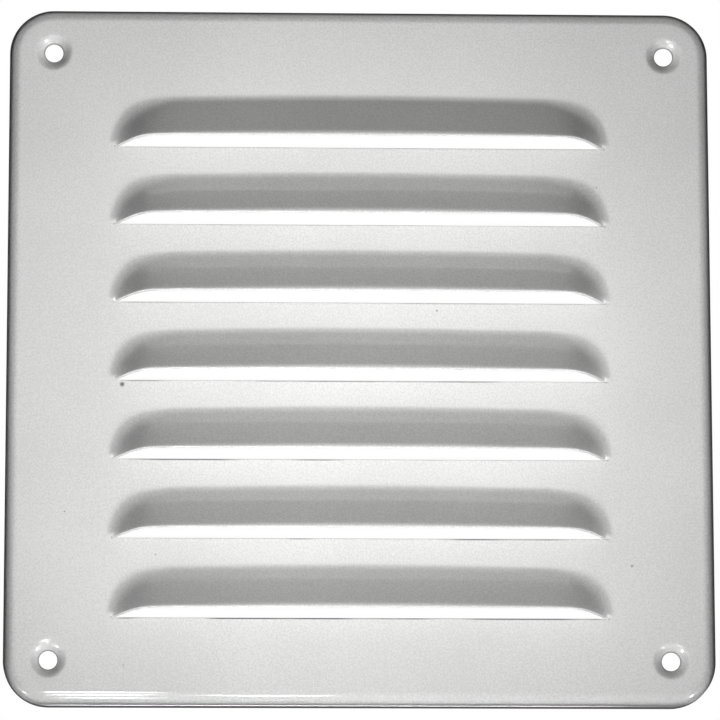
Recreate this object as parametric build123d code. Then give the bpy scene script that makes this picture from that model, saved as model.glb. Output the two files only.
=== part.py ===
"""Square louvre vent grille: one pressed sheet with seven hoods and four dished screw holes.

Frame: +X to the right seen from the front, +Z up, +Y into the wall. The origin is the middle of the
wall plane, where the turned-back edges end, and the louvres stand out towards -Y.
"""
from build123d import *
import math
import os

# Plate, in millimetres
plate_width = 150.0
plate_height = 150.0
corner_radius = 9.5
rim_depth = 5.5          # from the wall to the front face
soft_radius = 4.2        # first bend where the edges turn back, on the front
soft_turn = 25.0         # how far that bend turns, degrees
tight_radius = 1.8       # second bend, turning the rest of the way back
edge_margin = 0.5        # flat band pressed together with the edge
sheet = 0.9              # thickness of the metal

# Screw holes, each at the bottom of a pressed dish
hole_inset = 9.5         # from the hole's axis to the two edges beside it
hole_diameter = 4.0
dish_diameter = 8.6      # where the front face starts to dip
dish_radius = 2.6        # bend into the dish, on the front
dish_angle = 40.0        # slope of the dish wall, degrees
dish_margin = 0.6        # flat ring pressed together with the dish

# Louvres: a straight slit, with the metal above it drawn forward into a hood
louvre_count = 7
louvre_pitch = 16.9
slit_length = 104.4
hood_run = 11.7          # from the slit up to where the hood leaves the plate
hood_height = 5.4        # how far the lip stands in front of the plate
lip_recess = 1.4         # how far the lip is drawn up from its slit
foot_radius = 2.8        # bend where the hood leaves the plate, on the front
nose_radius = 2.2        # bend at the lip, on the front
end_lead = 1.7           # how far the hood's outline runs past the slit's end
end_fullness = 2.7       # how quickly the lip rises from the slit's end
end_foot = 1.0           # how much wider the bend at the foot is at the slit's end
end_sections = 8         # sections through each rounded end
hood_margin = 1.2        # flat strip pressed together with the hood

# Values that follow from these
edge_width = tight_radius + (soft_radius - tight_radius) * math.sin(math.radians(soft_turn))
edge_band = edge_width + edge_margin
end_length = hood_run - end_lead
straight_length = slit_length - 2 * end_length
field_height = (louvre_count - 1) * louvre_pitch + hood_run
first_slit = field_height / 2 - hood_run
slope_width = hood_run - lip_recess
bend_radii = foot_radius + nose_radius
slope_root = math.sqrt(slope_width**2 + hood_height * (hood_height - 2 * bend_radii))
half_slope = hood_height / (slope_width + slope_root)  # tangent of half the hood's slope
strip_height = hood_run + hood_margin
dish_reach = dish_diameter / 2 + dish_margin


def edge_section():
    """Section of a turned-back edge, x out from the axis of a corner's rounding and y back from the front."""
    band_start = corner_radius - edge_band

    def side(depth):
        """One side of the sheet, from the flat band over both bends to the wall."""
        soft = JernArc((corner_radius - edge_width, depth), (1, 0), soft_radius - depth, soft_turn)
        tight = JernArc(soft @ 1, soft % 1, tight_radius - depth, 90 - soft_turn)
        skirt = Line(tight @ 1, (corner_radius - depth, rim_depth))
        return Line((band_start, depth), soft @ 0) + soft + tight + skirt

    wall_end = Line((corner_radius, rim_depth), (corner_radius - sheet, rim_depth))
    band_end = Line((band_start, 0), (band_start, sheet))
    return make_face(side(0.0) + wall_end + side(sheet) + band_end)


def pan():
    """The flat plate with its edges turned back, straight along the sides and round at the corners."""
    section = edge_section()
    corner = revolve(section, Axis.Y, revolution_arc=90)
    flat_width = plate_width - 2 * edge_band
    flat_height = plate_height - 2 * edge_band
    flat = extrude(Plane.XZ * RectangleRounded(flat_width, flat_height, corner_radius - edge_band), -sheet)
    half_width = plate_width / 2 - corner_radius
    half_height = plate_height / 2 - corner_radius
    edges = []
    for turn, across, along in ((0, half_width, half_height), (90, half_height, half_width)):
        side = Pos(across, 0, -along) * (extrude(section, 2 * along) + corner)
        edges += [Rot(0, turn, 0) * side, Rot(0, turn + 180, 0) * side]
    return flat + edges


def bend(u, w, reach, rise):
    """Points of a curved edge at a corner: on its level side, at the corner and on its sloping side.

    The level side lies at greater u where reach is positive, as at the foot, and at lesser u at the nose.
    """
    length = math.hypot(1, rise)
    return [(u + reach, w), (u, w), (u - reach / length, w + reach * rise / length)]


def hood_section(along):
    """Closed section of the sheet at a distance along the slit from its end, flat at the end itself.

    In the section u runs up from the slit and w forward from the front face of the plate.
    """
    inward = along / end_length
    rise_share = 1 - (1 - inward) ** end_fullness
    foot = math.sqrt(hood_run**2 - (end_length * (1 - inward)) ** 2)
    height = hood_height * rise_share
    foot_reach = foot_radius * half_slope + end_foot * (1 - inward) ** 2
    foot_corner = foot - foot_reach
    nose_corner = lip_recess * rise_share + nose_radius * half_slope
    rise = height / (foot_corner - nose_corner)
    shift = sheet * math.tan(math.atan(rise) / 2)

    def strip_and_foot(depth, reach, moved):
        """One side of the sheet, from the flat strip over the bend at the hood's foot."""
        foot_bend = bend(foot_corner - moved, -depth, reach, rise)
        return [[(strip_height, -depth), foot_bend[0]], foot_bend]

    front = strip_and_foot(0.0, foot_reach, 0.0)
    behind = strip_and_foot(sheet, foot_reach + sheet * half_slope, shift)
    nose = bend(nose_corner, height, -nose_radius * half_slope, rise)[::-1]
    inner_nose = (nose_corner - shift, height - sheet)
    front += [[front[-1][-1], nose[0]], nose]
    behind += [[behind[-1][-1], inner_nose]]
    lip = [nose[-1], inner_nose]
    strip_end = [behind[0][0], front[0][0]]
    stretches = front + [lip] + [stretch[::-1] for stretch in reversed(behind)] + [strip_end]
    x = along - slit_length / 2
    edges = []
    for stretch in stretches:
        points = [Vector(x, -w, u) for u, w in stretch]
        edges.append(Line(*points) if len(points) == 2 else Bezier(*points))
    return Face(Wire(edges))


def louvre():
    """One hood with its flat strip, its slit on the X axis and the front face of the plate at y = 0."""
    stations = [end_length * (i / end_sections) ** 2 for i in range(end_sections + 1)]
    end = loft([hood_section(along) for along in stations])
    straight = extrude(hood_section(end_length), straight_length, dir=(1, 0, 0))
    return straight + end + mirror(end, about=Plane.YZ)


def dish():
    """The sheet dipping into a dish round a screw hole, its axis along Y and the front face at y = 0."""
    slope = math.radians(dish_angle)
    half = math.tan(slope / 2)
    hole = hole_diameter / 2
    level = dish_diameter / 2
    corner = level - dish_radius * half
    turned = corner - dish_radius * half * math.cos(slope)
    dip = (corner - hole) * math.tan(slope)
    behind_corner = corner + sheet * half
    behind_dip = sheet + (behind_corner - hole) * math.tan(slope)
    shoulder = Bezier((level, 0), (corner, 0), (turned, (corner - turned) * math.tan(slope)))
    front = Line((dish_reach, 0), (level, 0)) + shoulder + Line(shoulder @ 1, (hole, dip))
    behind = Polyline((hole, dip), (hole, behind_dip), (behind_corner, sheet), (dish_reach, sheet))
    ring_end = Line((dish_reach, sheet), (dish_reach, 0))
    return revolve(make_face(front + behind + ring_end), Axis.Y)


front_face = Location((0, -rim_depth, 0))
plate = front_face * pan()

window = Box(slit_length, sheet, strip_height, align=(Align.CENTER, Align.MIN, Align.MIN))
hood = louvre()
hood_places = [front_face * Location((0, 0, first_slit - i * louvre_pitch)) for i in range(louvre_count)]
plate -= [place * window for place in hood_places]

opening = extrude(Plane.XZ * Circle(dish_reach), -sheet)
screw_dish = dish()
hole_grid = GridLocations(plate_width - 2 * hole_inset, plate_height - 2 * hole_inset, 2, 2)
hole_places = [front_face * Location((spot.position.X, 0, spot.position.Y)) for spot in hole_grid]
plate -= [place * opening for place in hole_places]

louvre_plate = plate + [place * hood for place in hood_places] + [place * screw_dish for place in hole_places]

os.makedirs("parts", exist_ok=True)
export_step(louvre_plate, "parts/louvre_plate.step")
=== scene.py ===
import math
import bmesh
import bpy
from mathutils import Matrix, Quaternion, Vector
from mathutils.geometry import delaunay_2d_cdt


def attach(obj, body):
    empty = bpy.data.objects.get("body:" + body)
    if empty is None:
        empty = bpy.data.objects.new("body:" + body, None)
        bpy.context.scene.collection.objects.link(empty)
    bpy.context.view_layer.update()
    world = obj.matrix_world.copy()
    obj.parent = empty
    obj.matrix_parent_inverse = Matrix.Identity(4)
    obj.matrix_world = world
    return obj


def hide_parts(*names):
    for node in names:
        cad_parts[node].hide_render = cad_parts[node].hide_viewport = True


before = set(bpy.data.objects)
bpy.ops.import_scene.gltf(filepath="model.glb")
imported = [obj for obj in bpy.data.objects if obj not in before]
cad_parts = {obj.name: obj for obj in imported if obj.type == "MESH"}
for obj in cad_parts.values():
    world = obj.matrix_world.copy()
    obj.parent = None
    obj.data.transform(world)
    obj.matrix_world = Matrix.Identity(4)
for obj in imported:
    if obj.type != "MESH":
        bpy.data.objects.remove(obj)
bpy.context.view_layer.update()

# The louvres: the grille is one sheet of metal with seven straight slits, and above each slit the metal
# is drawn forward into a hood whose ends run down to the ends of the slit. A press cuts and draws them
# in one stroke, so they stay one with the plate.
MM = 0.001               # the grille's sizes are in millimetres
rim_depth = 5.5          # from the wall to the plate's face
louvre_count = 7
louvre_pitch = 16.9
slit_length = 104.4
strip_below = (0.0, 0.25, 1.0)  # rows of the flat strip under a slit
hood_run = 11.7          # from the slit up to the hood's foot
hood_height = 5.4        # how far the lip stands in front of the plate
hood_margin = 1.9        # flat strip above the foot
foot_radius = 2.8        # bend where the hood leaves the plate
foot_bow = 0.9           # how much lower the foot is at the ends than in the middle
foot_lead = 1.8          # length of the gentle start above that bend
foot_share = 0.15        # share of the slope that the gentle start takes
foot_level = 9.8         # the bend lies above this
nose_radius = 2.2        # bend at the lip
nose_zone = 2.6          # and it lies within this of the lip
lip_recess = 1.5         # how far the lip is drawn up from its slit
lip_roll = 0.4           # height of the rolled border of the lip
lip_drop = 0.03          # share by which that border turns back
lip_tries = 6
end_length = 12.5        # length of a hood's rounded end
end_lead = 1.7           # how far the hood's outline runs past the slit
end_margin = 0.6         # flat strip past the outline
end_power = 2.9          # how quickly the hood fills out from its end
end_round = 1.7          # roundness of the outline's corner
end_foot = 3.6           # how much further the foot's bend reaches at the end
end_fade = 1.3           # how quickly that fades inwards
end_nose = 1.2           # how much further the lip's bend reaches at the end
end_steep = 0.12         # how much steeper the hood is within its end
end_crowding = 1.4       # how much closer the sections stand towards the end
tie_reach = 0.7          # how near to the slit's end the metal is held down
foot_points = 13         # points of a section, and sections of a hood
slope_points = 12
nose_points = 15
lead_sections = 7
end_sections = 24
middle_sections = 12
half_slit = slit_length / 2
strip_height = hood_run + hood_margin
slope_width = hood_run - lip_recess
bend_radii = foot_radius + nose_radius
slope_root = math.sqrt(slope_width**2 + hood_height * (hood_height - 2 * bend_radii))
half_slope = hood_height / (slope_width + slope_root)  # tangent of half the hood's slope
full_slope = 2 * half_slope / (1 - half_slope**2)
first_slit = ((louvre_count - 1) * louvre_pitch + hood_run) / 2 - hood_run
slits = [first_slit - i * louvre_pitch for i in range(louvre_count)]
points = []
index_at = {}
faces = []
outlines = []            # borders of the pressed forms, which the flat face joins


def vertex(x, w, z):
    """Index of the vertex at x, z and w in front of the plate's face."""
    key = (round(x, 4), round(w, 4), round(z, 4))
    if key not in index_at:
        index_at[key] = len(points)
        points.append((x * MM, (-rim_depth - w) * MM, z * MM))
    return index_at[key]


def skin(rows):
    """Faces between rows of vertex indices, leaving out what has shrunk to nothing."""
    for low, high in zip(rows, rows[1:]):
        for i in range(len(low) - 1):
            corners = list(dict.fromkeys((low[i], low[i + 1], high[i + 1], high[i])))
            if len(corners) > 2:
                faces.append(corners)


def spread(start, end, count):
    """Even steps from start towards end, without end itself."""
    return [start + (end - start) * i / count for i in range(count)]


def eased(x, reach):
    """x where it is above reach, nothing below -reach, and a smooth bend between."""
    if x >= reach:
        return x
    return max(x + reach, 0.0) ** 2 / (4 * reach)


def hood_front(along, x, u):
    """How far the front of a hood stands before the plate, u above its slit and along it from an end."""
    left = min(max(1 - (along + end_lead) / (end_length + end_lead), 0.0), 1.0)
    run = hood_run - foot_bow * (x / half_slit) ** 2
    up = max(u, 0.0) / run
    out = run * (left ** (end_power * end_round) + up**end_round) ** (1 / end_round)
    foot_reach = foot_radius * half_slope + end_foot * left**end_fade
    nose_reach = nose_radius * half_slope + end_nose * left
    slope = full_slope * (1 + end_steep * math.sin(math.pi * left) ** 2)
    inward = run - foot_reach - out
    gentle = foot_lead * (1 - left) / 2
    start = foot_share * eased(inward + gentle, foot_reach + gentle)
    climb = (1 - foot_share) * eased(inward, foot_reach) + start
    height = hood_height - slope * eased(hood_height / slope - climb, nose_reach)
    tied = math.hypot(max(along, 0.0), u)
    return height * (1 - math.exp(-((tied / tie_reach) ** 2)))


def hood_line(along, x):
    """Points of a hood's section, as u and w, from the flat strip down to the lip."""
    lip = 0.0
    if along > 0:
        for _ in range(lip_tries):
            lip = lip_recess * hood_front(along, x, lip) / hood_height
    heights = spread(strip_height, foot_level, foot_points)
    heights += spread(foot_level, lip + nose_zone, slope_points)
    heights += spread(lip + nose_zone, lip, nose_points) + [lip]
    section = []
    for u in heights:
        rolled = lip_drop * max(1 - (u - lip) / lip_roll, 0.0) ** 2
        section.append((u, hood_front(along, x, u) * (1 - rolled)))
    return section


end_stations = [-end_lead - end_margin] + spread(-end_lead, 0.0, lead_sections)
end_stations += [end_length * (i / end_sections) ** end_crowding for i in range(end_sections + 1)]
middle_stations = spread(end_length, slit_length - end_length, middle_sections)[1:]
stations = end_stations + middle_stations + [slit_length - s for s in reversed(end_stations)]
for slit in slits:
    rows = []
    below = [[] for _ in strip_below]
    for s in stations:
        x = s - half_slit
        rows.append([vertex(x, w, slit + u) for u, w in hood_line(min(s, slit_length - s), x)])
        for row, drop in zip(below, strip_below):
            row.append(vertex(x, 0.0, slit - drop))
    skin(rows)
    skin(below)
    left_side = rows[0] + [below[1][0]]
    right_side = [below[1][-1]] + rows[-1][::-1]
    outlines.append(left_side + below[2] + right_side + [row[0] for row in rows[-2:0:-1]])

# The screw dishes: near each corner the sheet is pressed in round a punched hole, so that the head of a
# countersunk screw sits in it. They are drawn from the plate's own metal.
half_side = 75.0
hole_inset = 9.5         # from a hole's axis to the two edges beside it
hole_radius = 1.9
dish_reach = 4.9         # flat ring pressed together with the dish
dish_level = 4.2         # where the face starts to dip
dish_radius = 2.4
dish_slope = math.radians(46.0)
dish_steps = 16
dish_sides = 56
hole_spot = half_side - hole_inset
dish_corner = dish_level - dish_radius * math.tan(dish_slope / 2)
dish_depth = (dish_corner - hole_radius) * math.tan(dish_slope)
dish_line = [(dish_reach, 0.0)]
for i in range(1, dish_steps + 1):
    t = i / dish_steps
    r = (1 - t) ** 2 * dish_level + 2 * t * (1 - t) * dish_corner + t * t * hole_radius
    dish_line.append((r, -dish_depth * t * t))
around = spread(0.0, 2 * math.pi, dish_sides)
for cx in (-hole_spot, hole_spot):
    for cz in (-hole_spot, hole_spot):
        rings = []
        for r, w in dish_line:
            rings.append([vertex(cx + r * math.cos(a), w, cz + r * math.sin(a)) for a in around])
        skin([ring + ring[:1] for ring in rings])
        outlines.append(rings[0])

# The turned edge: all round, the sheet bends softly and then tightly back towards the wall, and ends in
# a straight skirt that stands on it. The press folds it over, round at the corners.
corner_radius = 9.5
soft_radius = 4.2
soft_turn = math.radians(25.0)
tight_radius = 1.8
edge_margin = 0.5        # flat band pressed together with the edge
band_steps = 2
soft_steps = 6
tight_steps = 12
skirt_steps = 3
corner_steps = 30
side_steps = 20
quarter = math.pi / 2
edge_width = tight_radius + (soft_radius - tight_radius) * math.sin(soft_turn)
edge_band = edge_width + edge_margin
skirt_start = soft_radius - (soft_radius - tight_radius) * math.cos(soft_turn)
edge_line = [(inset, 0.0) for inset in spread(edge_band, edge_width, band_steps)]
for a in spread(0.0, soft_turn, soft_steps):
    edge_line.append((edge_width - soft_radius * math.sin(a), -soft_radius * (1 - math.cos(a))))
for a in spread(soft_turn, quarter, tight_steps):
    edge_line.append((tight_radius * (1 - math.sin(a)), tight_radius * math.cos(a) - skirt_start))
edge_line += [(0.0, -depth) for depth in spread(skirt_start, rim_depth, skirt_steps) + [rim_depth]]
reach = half_side - corner_radius
corner_places = [(reach, reach), (-reach, reach), (-reach, -reach), (reach, -reach)]
walk = []
for turn, (x, z) in enumerate(corner_places):
    next_x, next_z = corner_places[(turn + 1) % len(corner_places)]
    for a in spread(turn * quarter, (turn + 1) * quarter, corner_steps):
        walk.append((x, z, a))
    for side_x, side_z in zip(spread(x, next_x, side_steps), spread(z, next_z, side_steps)):
        walk.append((side_x, side_z, (turn + 1) * quarter))
rings = []
for inset, w in edge_line:
    out = corner_radius - inset
    rings.append([vertex(x + out * math.cos(a), w, z + out * math.sin(a)) for x, z, a in walk])
skin([ring + ring[:1] for ring in rings])
outlines.append(rings[0])

# The flat face: the metal that the press leaves level between the louvres, the dishes and the turned
# edge. It is one with them, so its triangles use the vertices of their borders.
grid_step = 3.0
grid_reach = 23          # steps from the middle to each side
grid_shift_x = 0.4       # every second row and column is moved a little
grid_shift_z = 0.3
clear_beside = 1.5       # room left round the pressed forms
clear_above = 0.8
clear_below = 1.8
merge_distance = 1e-5
hood_side = half_slit + end_lead
flat_points = []
flat_index = []
flat_edges = []
for outline in outlines:
    start = len(flat_points)
    for i, number in enumerate(outline):
        flat_points.append(Vector((points[number][0] / MM, points[number][2] / MM)))
        flat_index.append(number)
        flat_edges.append((start + i, start + (i + 1) % len(outline)))
for i in range(-grid_reach, grid_reach + 1):
    for j in range(-grid_reach, grid_reach + 1):
        x = i * grid_step + grid_shift_x * (j % 2)
        z = j * grid_step + grid_shift_z * (i % 2)
        near = [slit for slit in slits if -clear_below <= z - slit <= strip_height + clear_above]
        off_hoods = abs(x) > hood_side + clear_beside or not near
        if off_hoods and math.hypot(abs(x) - hole_spot, abs(z) - hole_spot) > dish_reach + clear_above:
            flat_points.append(Vector((x, z)))
            flat_index.append(vertex(x, 0.0, z))
flat = delaunay_2d_cdt(flat_points, flat_edges, [], 0, merge_distance)
flat_spots, flat_triangles, flat_sources = flat[0], flat[2], flat[3]
dish_inside = dish_reach * math.cos(math.pi / dish_sides)
for corners in flat_triangles:
    middle = sum((flat_spots[i] for i in corners), Vector((0, 0))) / 3
    hoods = [slit for slit in slits if -strip_below[-1] < middle.y - slit < strip_height]
    in_hood = hoods and abs(middle.x) < hood_side + end_margin
    in_dish = math.hypot(abs(middle.x) - hole_spot, abs(middle.y) - hole_spot) < dish_inside
    if not in_hood and not in_dish:
        faces.append([flat_index[flat_sources[i][0]] for i in corners])

# The sheet itself: the skin made so far is the front of the metal. It gets its thickness backwards, as
# the back follows the front in pressed work, and its cut edges are slightly rounded by the enamel.
sheet = 0.9
cut_round = 0.14
cut_angle = math.radians(75)
smooth_angle = math.radians(50)
skin_mesh = bpy.data.meshes.new("louvre_skin")
skin_mesh.from_pydata(points, [], faces)
shaped = bmesh.new()
shaped.from_mesh(skin_mesh)
bmesh.ops.recalc_face_normals(shaped, faces=shaped.faces)
widest = max(shaped.faces, key=lambda face: face.calc_area())
if widest.normal.y > 0:
    bmesh.ops.reverse_faces(shaped, faces=shaped.faces)
shaped.to_mesh(skin_mesh)
shaped.free()
grille = bpy.data.objects.new("grille", skin_mesh)
bpy.context.scene.collection.objects.link(grille)
thick = grille.modifiers.new("thickness", "SOLIDIFY")
thick.thickness = sheet * MM
thick.offset = -1
thick.use_even_offset = False
rounded = grille.modifiers.new("cut edges", "BEVEL")
rounded.width = cut_round * MM
rounded.segments = 2
rounded.limit_method = "ANGLE"
rounded.angle_limit = cut_angle
rounded.use_clamp_overlap = False
solid = bpy.data.meshes.new_from_object(grille.evaluated_get(bpy.context.evaluated_depsgraph_get()))
grille.modifiers.clear()
grille.data = solid
solid.shade_smooth()
solid.set_sharp_from_angle(angle=smooth_angle)

# The enamel: white stoved paint with a hard gloss, sprayed on, so it has a slight orange peel and a fine
# grain. Dirt has stuck to it in a few specks. Painted shade darkens a thin ring at each hole and patchy
# lines along the slits' lower edges.
white_dull = (0.745, 0.745, 0.74, 1)
white_clear = (0.88, 0.88, 0.875, 1)
# the dark of the dirt specks, and of the painted shade at the holes and along the slits
dark_specks_and_shade = (0.05, 0.048, 0.045, 1)
gloss = {"Roughness": 0.32, "Coat Weight": 1.0, "Coat Roughness": 0.04, "Coat IOR": 1.65}
peel_scale = 420.0       # scales are in turns to the metre
peel_height = 1.4e-5     # and heights in metres
wave_scale = 45.0
wave_height = 7e-5
grain_scale = 2700.0
grain_share = 0.7        # the rest of the paint's unevenness is cloudy
cloud_scale = 30.0
uneven_range = (0.36, 0.64)
specks = [               # x, z and size in millimetres, and darkness
    (16.4, 9.4, 0.3, 0.8),
    (-50.4, -6.8, 0.75, 0.95),
    (57.4, -45.3, 0.4, 0.8),
    (-43.1, -43.2, 0.25, 0.7),
    (-62.3, -34.1, 0.28, 0.7),
    (50.7, 36.4, 0.25, 0.6),
    (-49.7, -66.7, 0.45, 0.25),
]
speck_core = 0.2         # share of a speck that is fully dark
ring_inner = 2.0         # the painted shade round a hole, standing for its cut wall, fades out between these
ring_outer = 2.3
ring_darkness = 0.8
line_inner = 0.2         # and the painted shadow line along a slit's lower edge between these
line_outer = 0.4
line_fade = 4.0          # it fades out over this at the slit's ends
line_stop = (1.0, 2.0)   # and beyond the highest and the lowest slit between these
line_darkness = 0.75     # along the lowest slits, added to what the highest have
line_least = 0.1
line_low = -35.0         # all of it is there below this height, and the least above the next
line_high = 30.0
patch_scale = 55.0
patch_range = (0.42, 0.6)


class Value:
    """An output of the node tree in hand, with arithmetic."""

    tree = None

    def __init__(self, socket):
        self.socket = socket

    @classmethod
    def start(cls, owner):
        """Take the node tree of a material or world in hand, emptied."""
        owner.use_nodes = True
        cls.tree = owner.node_tree
        cls.tree.nodes.clear()

    @classmethod
    def node(cls, kind, settings, inputs, output=0):
        """A node's output, its settings made first and its sockets then given values or links."""
        made = cls.tree.nodes.new(kind)
        for name, value in settings.items():
            setattr(made, name, value)
        for name, value in inputs.items():
            if isinstance(value, Value):
                cls.tree.links.new(value.socket, made.inputs[name])
            else:
                made.inputs[name].default_value = value
        return cls(made.outputs[output]) if made.outputs else None

    @classmethod
    def math(cls, operation, *values):
        """The result of a Math node."""
        return cls.node("ShaderNodeMath", {"operation": operation}, dict(enumerate(values)))

    def __add__(self, other):
        return Value.math("ADD", self, other)

    __radd__ = __add__

    def __sub__(self, other):
        return Value.math("SUBTRACT", self, other)

    def __rsub__(self, other):
        return Value.math("SUBTRACT", other, self)

    def __mul__(self, other):
        return Value.math("MULTIPLY", self, other)

    __rmul__ = __mul__

    def __truediv__(self, other):
        return Value.math("DIVIDE", self, other)

    def __rtruediv__(self, other):
        return Value.math("DIVIDE", other, self)

    def __abs__(self):
        return Value.math("ABSOLUTE", self)

    def between(self, low, high):
        """Smooth rise from 0 at low to 1 at high."""
        limits = {"Value": self, "From Min": low, "From Max": high}
        return Value.node("ShaderNodeMapRange", {"interpolation_type": "SMOOTHSTEP"}, limits)


def noise(scale, detail):
    """Even noise over the metal."""
    return Value.node("ShaderNodeTexNoise", {}, {"Vector": spot, "Scale": scale, "Detail": detail})


def distance(x, z):
    """Length of a way x across and z up."""
    return Value.math("SQRT", x * x + z * z)


def mixed(share, first, second):
    """The first colour where share is 0 and the second where it is 1."""
    colours = {"Factor": share, "A": first, "B": second}
    return Value.node("ShaderNodeMix", {"data_type": "RGBA"}, colours, 2)


enamel = bpy.data.materials.new("white enamel")
Value.start(enamel)
spot = Value.node("ShaderNodeTexCoord", {}, {}, "Object")
height = noise(peel_scale, 2.0) * peel_height + noise(wave_scale, 1.0) * wave_height
bump = Value.node("ShaderNodeBump", {}, {"Height": height, "Strength": 1.0, "Distance": 1.0})
uneven = noise(grain_scale, 1.0) * grain_share + noise(cloud_scale, 3.0) * (1 - grain_share)
paint = mixed(uneven.between(*uneven_range), white_dull, white_clear)
across = Value.node("ShaderNodeSeparateXYZ", {}, {"Vector": spot}, "X")
upward = Value.node("ShaderNodeSeparateXYZ", {}, {"Vector": spot}, "Z")
specks_and_painted_shade = 0.0
for x, z, size, darkness in specks:
    away = distance(across - x * MM, upward - z * MM)
    specks_and_painted_shade = specks_and_painted_shade + (1 - away.between(speck_core * size * MM, size * MM)) * darkness
# Painted shade: a thin dark ring round each hole, standing for the hole's cut wall seen dark in shade.
from_hole = distance(abs(across) - hole_spot * MM, abs(upward) - hole_spot * MM)
specks_and_painted_shade = specks_and_painted_shade + (1 - from_hole.between(ring_inner * MM, ring_outer * MM)) * ring_darkness
# Painted shadow: a thin patchy dark line along each slit's lower edge, darker towards the lower slits.
pitches_up = (upward - first_slit * MM) / (louvre_pitch * MM) + 0.5
from_slit = abs(Value.math("FRACT", pitches_up) - 0.5) * (louvre_pitch * MM)
patchy = noise(patch_scale, 1.0).between(*patch_range)
lower = 1 - upward.between(line_low * MM, line_high * MM)
within = 1 - abs(across).between((half_slit - line_fade) * MM, half_slit * MM)
within = within * (1 - upward.between((slits[0] + line_stop[0]) * MM, (slits[0] + line_stop[1]) * MM))
within = within * upward.between((slits[-1] - line_stop[1]) * MM, (slits[-1] - line_stop[0]) * MM)
slit_line = (1 - from_slit.between(line_inner * MM, line_outer * MM)) * patchy * within
specks_and_painted_shade = specks_and_painted_shade + slit_line * (lower * line_darkness + line_least)
# The specks are real dirt; the rings at the holes and the lines along the slits are painted shade.
paint = mixed(Value.math("MINIMUM", specks_and_painted_shade, 1.0), paint, dark_specks_and_shade)
shell = Value.node("ShaderNodeBsdfPrincipled", {}, {"Base Color": paint, "Normal": bump, **gloss})
Value.node("ShaderNodeOutputMaterial", {}, {"Surface": shell})
grille.data.materials.clear()
grille.data.materials.append(enamel)
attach(grille, "root")
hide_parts("louvre_plate")

# The camera: a long lens about a metre in front of the grille, on a low stand a little to its left, so
# that it looks up at the hoods and through the openings under them. Places from here on are in metres.
camera_place = (-0.03482, -1.030, -0.19324)
camera_aim = (0.0334, 0.9824, 0.184)
camera_roll = math.radians(-0.08)
lens = bpy.data.cameras.new("camera")
lens.lens = 245.6
lens.sensor_width = 36.0
lens.clip_start = 0.05
lens.clip_end = 20.0
camera = bpy.data.objects.new("camera", lens)
camera.location = camera_place
camera.rotation_mode = "QUATERNION"
level_view = Vector(camera_aim).to_track_quat("-Z", "Y")
camera.rotation_quaternion = level_view @ Quaternion((0, 0, 1), camera_roll)
bpy.context.scene.collection.objects.link(camera)
bpy.context.scene.camera = camera
bpy.context.scene.view_settings.view_transform = "Standard"

# The lamps: two soft ones on stands in front of the grille and below it, each lighting mostly the far
# half, and four small ones near the camera for the glints. One more stands behind, and one at each
# side and one above light the skirts.
centre = (0.0, 0.0, 0.0)
main_side = 0.62
main_front = -0.83
main_low = -0.68
far_half = 0.086         # the main lamps aim this far past the middle
main_aim = 0.033         # and this far above it
small_front = -0.80
small_places = ((-0.072, -0.06), (-0.072, -0.26), (-0.072, -0.54), (-0.006, -0.30))
small_aim = (0.0, 0.0, -0.02)
behind_place = (0.0, 0.80, -0.75)
beside_places = ((-1.0, 0.0, 0.0), (1.0, 0.0, 0.0), (0.0, 0.0, 1.0))


def lamp(name, place, target, power, size, cone, blend=1.0):
    """A soft round lamp, which fades out towards the border of its cone."""
    data = bpy.data.lights.new(name, "SPOT")
    data.energy = power
    data.shadow_soft_size = size
    data.spot_size = math.radians(cone)
    data.spot_blend = blend
    made = bpy.data.objects.new(name, data)
    made.location = place
    made.rotation_mode = "QUATERNION"
    made.rotation_quaternion = (Vector(target) - Vector(place)).to_track_quat("-Z", "Y")
    bpy.context.scene.collection.objects.link(made)
    return made


for name, side, power in (("lamp left", -1, 44.5), ("lamp right", 1, 52.5)):
    place = (side * main_side, main_front, main_low)
    lamp(name, place, (-side * far_half, 0.0, main_aim), power, size=0.06, cone=13.5)
for x, z in small_places:
    lamp("lamp small", (x, small_front, z), small_aim, power=0.75, size=0.025, cone=24.0)
lamp("lamp behind", behind_place, centre, power=10.0, size=0.15, cone=24.0)
for place in beside_places:
    beside = lamp("lamp beside", place, centre, power=15.0, size=0.02, cone=13.0, blend=0.3)
    beside.visible_camera = False

# The room: white walls far off, which only the camera and reflections see. As light it gives a soft fill
# from behind the grille, and next to nothing from elsewhere.
white = (1, 1, 1, 1)
fill_behind = 0.8
fill_around = 0.01
fill_range = (0.55, 0.75)


def seen():
    """1 for rays from the camera, off gloss and through glass, and 0 for light that falls on things."""
    rays = ("Is Camera Ray", "Is Glossy Ray", "Is Transmission Ray")
    kinds = [Value.node("ShaderNodeLightPath", {}, {}, ray) for ray in rays]
    return Value.math("MINIMUM", kinds[0] + kinds[1] + kinds[2], 1.0)


room = bpy.data.worlds.new("room")
Value.start(room)
bpy.context.scene.world = room
view = Value.node("ShaderNodeTexCoord", {}, {}, "Generated")
backward = Value.node("ShaderNodeSeparateXYZ", {}, {"Vector": view}, "Y")
fill = backward.between(*fill_range) * fill_behind + fill_around
in_view = seen()
strength = in_view + (1 - in_view) * fill
walls = Value.node("ShaderNodeBackground", {}, {"Color": white, "Strength": strength})
Value.node("ShaderNodeOutputWorld", {}, {"Surface": walls})

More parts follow.
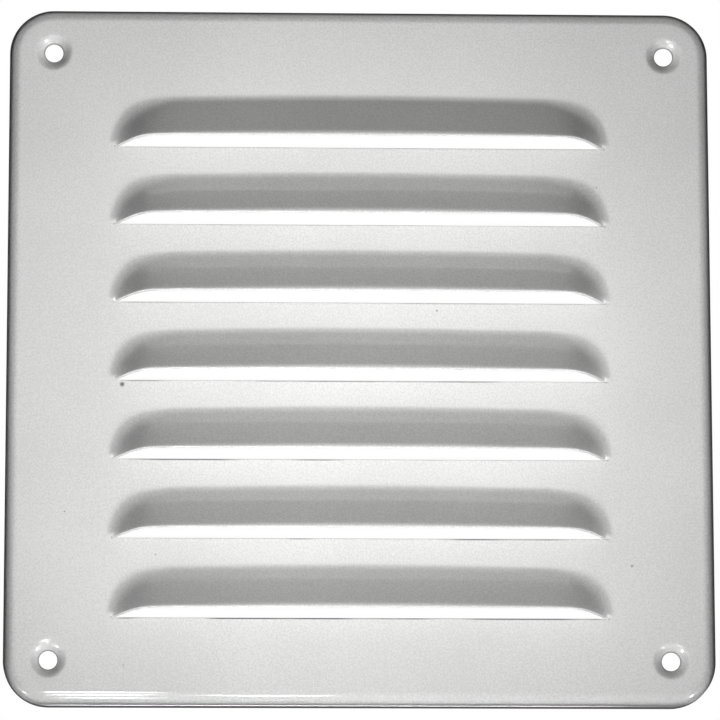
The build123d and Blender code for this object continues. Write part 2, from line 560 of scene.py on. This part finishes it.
# The flags: large sheets of black cloth on frames at both sides, above and behind. The gloss of the
# turned edges mirrors them, and they take no light from the lamps.
black = (0.01, 0.01, 0.01, 1)
flag_side = 0.5
flag_low = -0.5
flag_top = 0.6
flag_front = -1.0
flag_back = 0.6
rear_place = 0.3
rear_low = -0.19
flag_spans = [
    ("flag left", (-flag_side, flag_front, flag_low), (-flag_side, flag_back, flag_top)),
    ("flag right", (flag_side, flag_front, flag_low), (flag_side, flag_back, flag_top)),
    ("flag above", (-flag_side, flag_front, flag_top), (flag_side, flag_back, flag_top)),
    ("flag behind", (-flag_side, rear_place, rear_low), (flag_side, rear_place, flag_top)),
]


def matt_black():
    """The surface of black cloth or card."""
    return Value.node("ShaderNodeBsdfDiffuse", {}, {"Color": black})


def panel(name, low, high, finish):
    """A flat sheet of the studio between two opposite corners, square to the axes."""
    first, second = [axis for axis in range(3) if low[axis] != high[axis]]
    corners = []
    for ends in ((low, low), (high, low), (high, high), (low, high)):
        corner = list(low)
        corner[first] = ends[0][first]
        corner[second] = ends[1][second]
        corners.append(corner)
    mesh = bpy.data.meshes.new(name)
    mesh.from_pydata(corners, [], [(0, 1, 2, 3)])
    surface = bpy.data.materials.new(name)
    Value.start(surface)
    Value.node("ShaderNodeOutputMaterial", {}, {"Surface": finish()})
    mesh.materials.append(surface)
    made = bpy.data.objects.new(name, mesh)
    bpy.context.scene.collection.objects.link(made)
    return made


for name, low, high in flag_spans:
    flag = panel(name, low, high, matt_black)
    flag.visible_camera = False
    flag.visible_diffuse = False
    flag.visible_transmission = False
    flag.visible_shadow = False

# The cards: four narrow strips of black card held a little way off the edges, in the lamps' way, so that
# the bends of the turned edge fall into shade. Those above and at the sides leave the skirts in the light.
card = 0.083             # from the middle to each card
card_front = -0.0185
card_back = -0.0033
below_front = -0.0156
below_back = 0.004
card_spans = [
    ("card below", (-card, below_front, -card), (card, below_back, -card)),
    ("card above", (-card, card_front, card), (card, card_back, card)),
    ("card left", (-card, card_front, -card), (-card, card_back, card)),
    ("card right", (card, card_front, -card), (card, card_back, card)),
]
for name, low, high in card_spans:
    panel(name, low, high, matt_black).visible_camera = False

# The floor: plain pale matt ground well below the grille and the lamps. It shows mostly its own pale
# colour and a little of the light on it, so that shadows stay.
ground_colour = (0.8, 0.8, 0.8, 1)
shown_colour = (0.86, 0.86, 0.86, 1)
shown_share = 0.8
floor_half = 4.0
floor_level = -1.25
floor_low = (-floor_half, -floor_half, floor_level)
floor_high = (floor_half, floor_half, floor_level)


def pale_ground():
    """Matt paint, mixed with its own plain colour where it is seen."""
    matt = Value.node("ShaderNodeBsdfDiffuse", {}, {"Color": ground_colour})
    pale = Value.node("ShaderNodeEmission", {}, {"Color": shown_colour, "Strength": 1.0})
    return Value.node("ShaderNodeMixShader", {}, {0: seen() * shown_share, 1: matt, 2: pale})


panel("floor", floor_low, floor_high, pale_ground)
